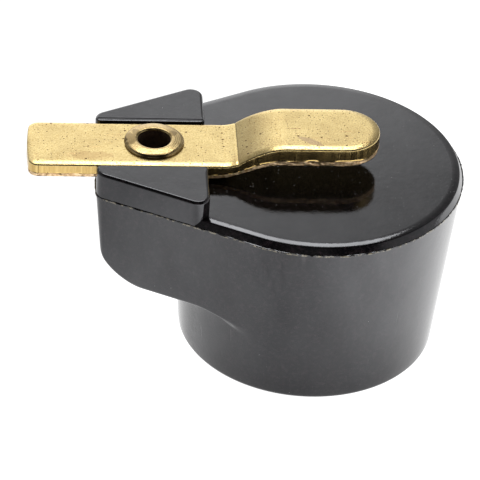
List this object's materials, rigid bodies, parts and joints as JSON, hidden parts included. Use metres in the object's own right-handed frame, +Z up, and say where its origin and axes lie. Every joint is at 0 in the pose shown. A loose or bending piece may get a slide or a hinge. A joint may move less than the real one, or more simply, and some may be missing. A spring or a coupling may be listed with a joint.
{
  "type": "distributor rotor arm",
  "caption": "Moulded black cap with a side wing, a riveted brass contact blade and a sprung bore that pushes onto a shaft.",
  "frame": {"origin": "centre of the shaft bore's mouth, at the bottom face", "axes": "+Z up along the shaft axis, out of the cap's flat top; -X from the shaft axis towards the blade's tip; +Y completes the right-handed set"},
  "size_m": [0.0472, 0.032, 0.0257],
  "materials": {
    "moulding": "black phenolic, glossy as moulded",
    "blade_brass": "stamped brass, satin, lightly tarnished",
    "rivet_brass": "drawn brass, satin",
    "spring_steel": "rolled spring strip"
  },
  "bodies": {
    "arm": {"rotor_body": "moulding", "contact_blade": "blade_brass", "eyelet_rivet": "rivet_brass"},
    "clip": {"spring_clip": "spring_steel"}
  },
  "joints": [
    {"name": "clip_flex", "type": "hinge", "parent": "arm", "child": "clip", "pos_m": [0.00778, 0, 0.0148], "axis": [0, -1, 0], "range_deg": [0, 2.5], "stiffness_Nm_per_rad": 1.4}
  ]
}
